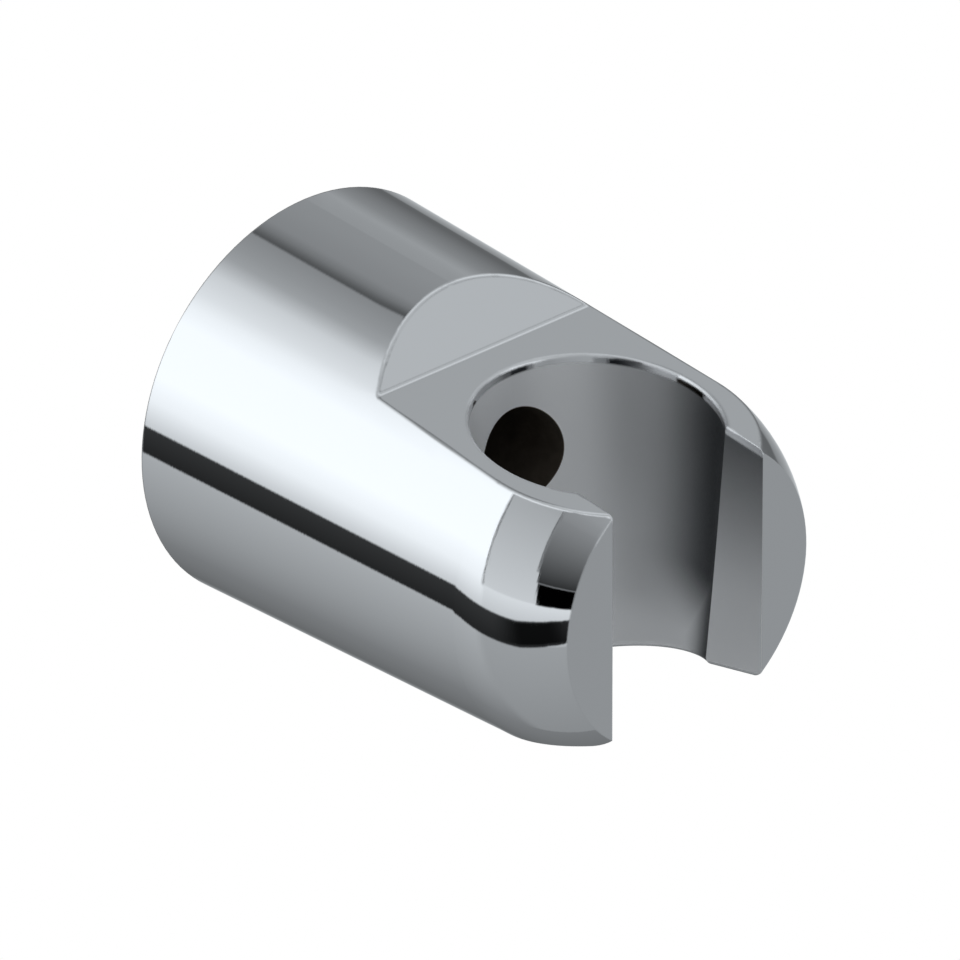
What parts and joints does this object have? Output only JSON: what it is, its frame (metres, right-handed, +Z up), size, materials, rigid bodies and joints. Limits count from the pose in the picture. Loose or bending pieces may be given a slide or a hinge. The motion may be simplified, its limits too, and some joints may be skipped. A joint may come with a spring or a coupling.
{
  "type": "hand shower holder",
  "caption": "Round wall-fixed holder for a hand shower: tapering plated body with a sloped notch, a conical cup for the hose nut and an open front slot for the hose.",
  "frame": {"origin": "centre of the round rim that sits on the wall, in the wall plane", "axes": "+Y into the wall, the holder reaches out along -Y; +Z up along the wall; +X to the right of somebody facing the wall"},
  "size_m": [0.045, 0.058, 0.045],
  "materials": {
    "chrome_plate": "polished bright chrome plate"
  },
  "bodies": {
    "root": {"holder_body": "chrome_plate"}
  },
  "joints": []
}
